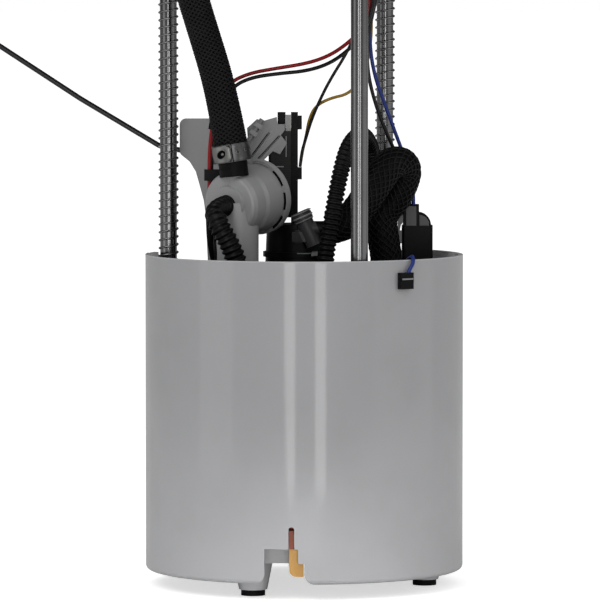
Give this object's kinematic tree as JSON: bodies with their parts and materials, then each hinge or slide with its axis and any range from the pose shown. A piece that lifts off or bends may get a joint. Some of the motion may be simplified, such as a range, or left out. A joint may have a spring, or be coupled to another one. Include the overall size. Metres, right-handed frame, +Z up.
{
  "type": "fuel pump module",
  "caption": "In-tank fuel pump module: a round pot with pump, regulator, filter and level sender, hung on sprung guide rods from a sealed top flange.",
  "frame": {"origin": "on the pot's axis, at the level of the tank floor under the feet", "axes": "+Z up along the pot's axis to the flange; -Y is the side with the notch in the skirt; the float arm reaches towards -X"},
  "size_m": [0.284, 0.1719, 0.377],
  "materials": {
    "natural_plastic": "natural moulded plastic, satin",
    "black_plastic": "moulded, satin",
    "black_rubber": "moulded rubber",
    "braid": "woven polyester sleeve",
    "steel": "ground and polished",
    "wire_steel": "dark drawn wire",
    "brass": "plated",
    "grey_plastic": "moulded",
    "pale_plastic": "moulded",
    "amber_plastic": "moulded",
    "red_plastic": "moulded",
    "ceramic": "fired ceramic with printed track",
    "filter_media": "pleated media and fine mesh",
    "carbon": "pressed carbon and ferrite",
    "red_lead": "insulated lead",
    "black_lead": "insulated lead",
    "yellow_lead": "insulated lead",
    "blue_lead": "insulated lead"
  },
  "bodies": {
    "reservoir": {"cable_tie": "black_plastic", "connector_body": "black_plastic", "connector_insert": "grey_plastic", "connector_latch": "pale_plastic", "earth_wire": "blue_lead", "filter_canister": "black_plastic", "filter_element": "filter_media", "filter_lid": "black_plastic", "foot_pads": "black_rubber", "hose_clamp_lower": "steel", "inlet_valve_cage": "black_plastic", "jet_hose": "black_rubber", "jet_nozzle": "red_plastic", "jet_pump_body": "amber_plastic", "loop_tube": "black_rubber", "outlet_fitting": "grey_plastic", "pot": "natural_plastic", "pressure_hose": "black_rubber", "pump_brushes": "carbon", "pump_can": "steel", "pump_end_cap": "black_plastic", "pump_holder": "black_plastic", "pump_inlet_cover": "black_plastic", "pump_isolator": "black_rubber", "pump_magnets": "carbon", "regulator_cover": "natural_plastic", "regulator_diaphragm": "black_rubber", "regulator_manifold": "natural_plastic", "rod_bushes": "pale_plastic", "sender_bracket": "natural_plastic", "sender_card": "ceramic", "sender_frame": "black_plastic", "strainer_sock": "filter_media", "wire_clip": "black_plastic", "wire_guide": "black_plastic"},
    "flange": {"black_leads": "black_lead", "blue_lead": "blue_lead", "flange_plate": "black_plastic", "flange_seal": "black_rubber", "guide_rods": "steel", "hose_clamp_upper": "steel", "hose_sleeve": "braid", "outlet_pipe": "black_plastic", "red_lead": "red_lead", "rod_clips": "steel", "rod_springs": "steel", "socket_housing": "black_plastic", "socket_pins": "brass", "supply_hose": "black_rubber", "vent_valve": "black_plastic", "yellow_lead": "yellow_lead"},
    "float_arm": {"arm_holder": "natural_plastic", "arm_wire": "wire_steel", "float_retainer": "steel"},
    "float": {"float_body": "black_rubber"},
    "pump_rotor": {"pump_armature": "steel", "pump_impeller": "pale_plastic", "pump_shaft": "steel"},
    "inlet_valve": {"inlet_valve_disc": "black_rubber"},
    "vent_float": {"vent_float": "pale_plastic"}
  },
  "joints": [
    {"name": "flange_slide", "type": "slide", "parent": "reservoir", "child": "flange", "axis": [0, 0, 1], "range_m": [-0.06, 0], "stiffness_N_per_m": 300, "springref_m": 0.05, "deforming": ["rod_springs", "supply_hose", "hose_sleeve", "red_lead", "black_leads", "yellow_lead", "blue_lead"]},
    {"name": "float_pivot", "type": "hinge", "parent": "reservoir", "child": "float_arm", "pos_m": [-0.0289, 0.018, 0.1977], "axis": [0, 1, 0], "range_deg": [-55, 15]},
    {"name": "float_turn", "type": "hinge", "parent": "float_arm", "child": "float", "pos_m": [-0.187, 0.04, 0.2805], "axis": [0, 1, 0], "continuous": true},
    {"name": "rotor_spin", "type": "hinge", "parent": "reservoir", "child": "pump_rotor", "pos_m": [-0.0025, 0.006, 0.08], "axis": [0, 0, 1], "continuous": true},
    {"name": "inlet_valve_lift", "type": "slide", "parent": "reservoir", "child": "inlet_valve", "axis": [0, 0, 1], "range_m": [0, 0.002]},
    {"name": "vent_float_lift", "type": "slide", "parent": "flange", "child": "vent_float", "axis": [0, 0, 1], "range_m": [0, 0.0025]}
  ]
}
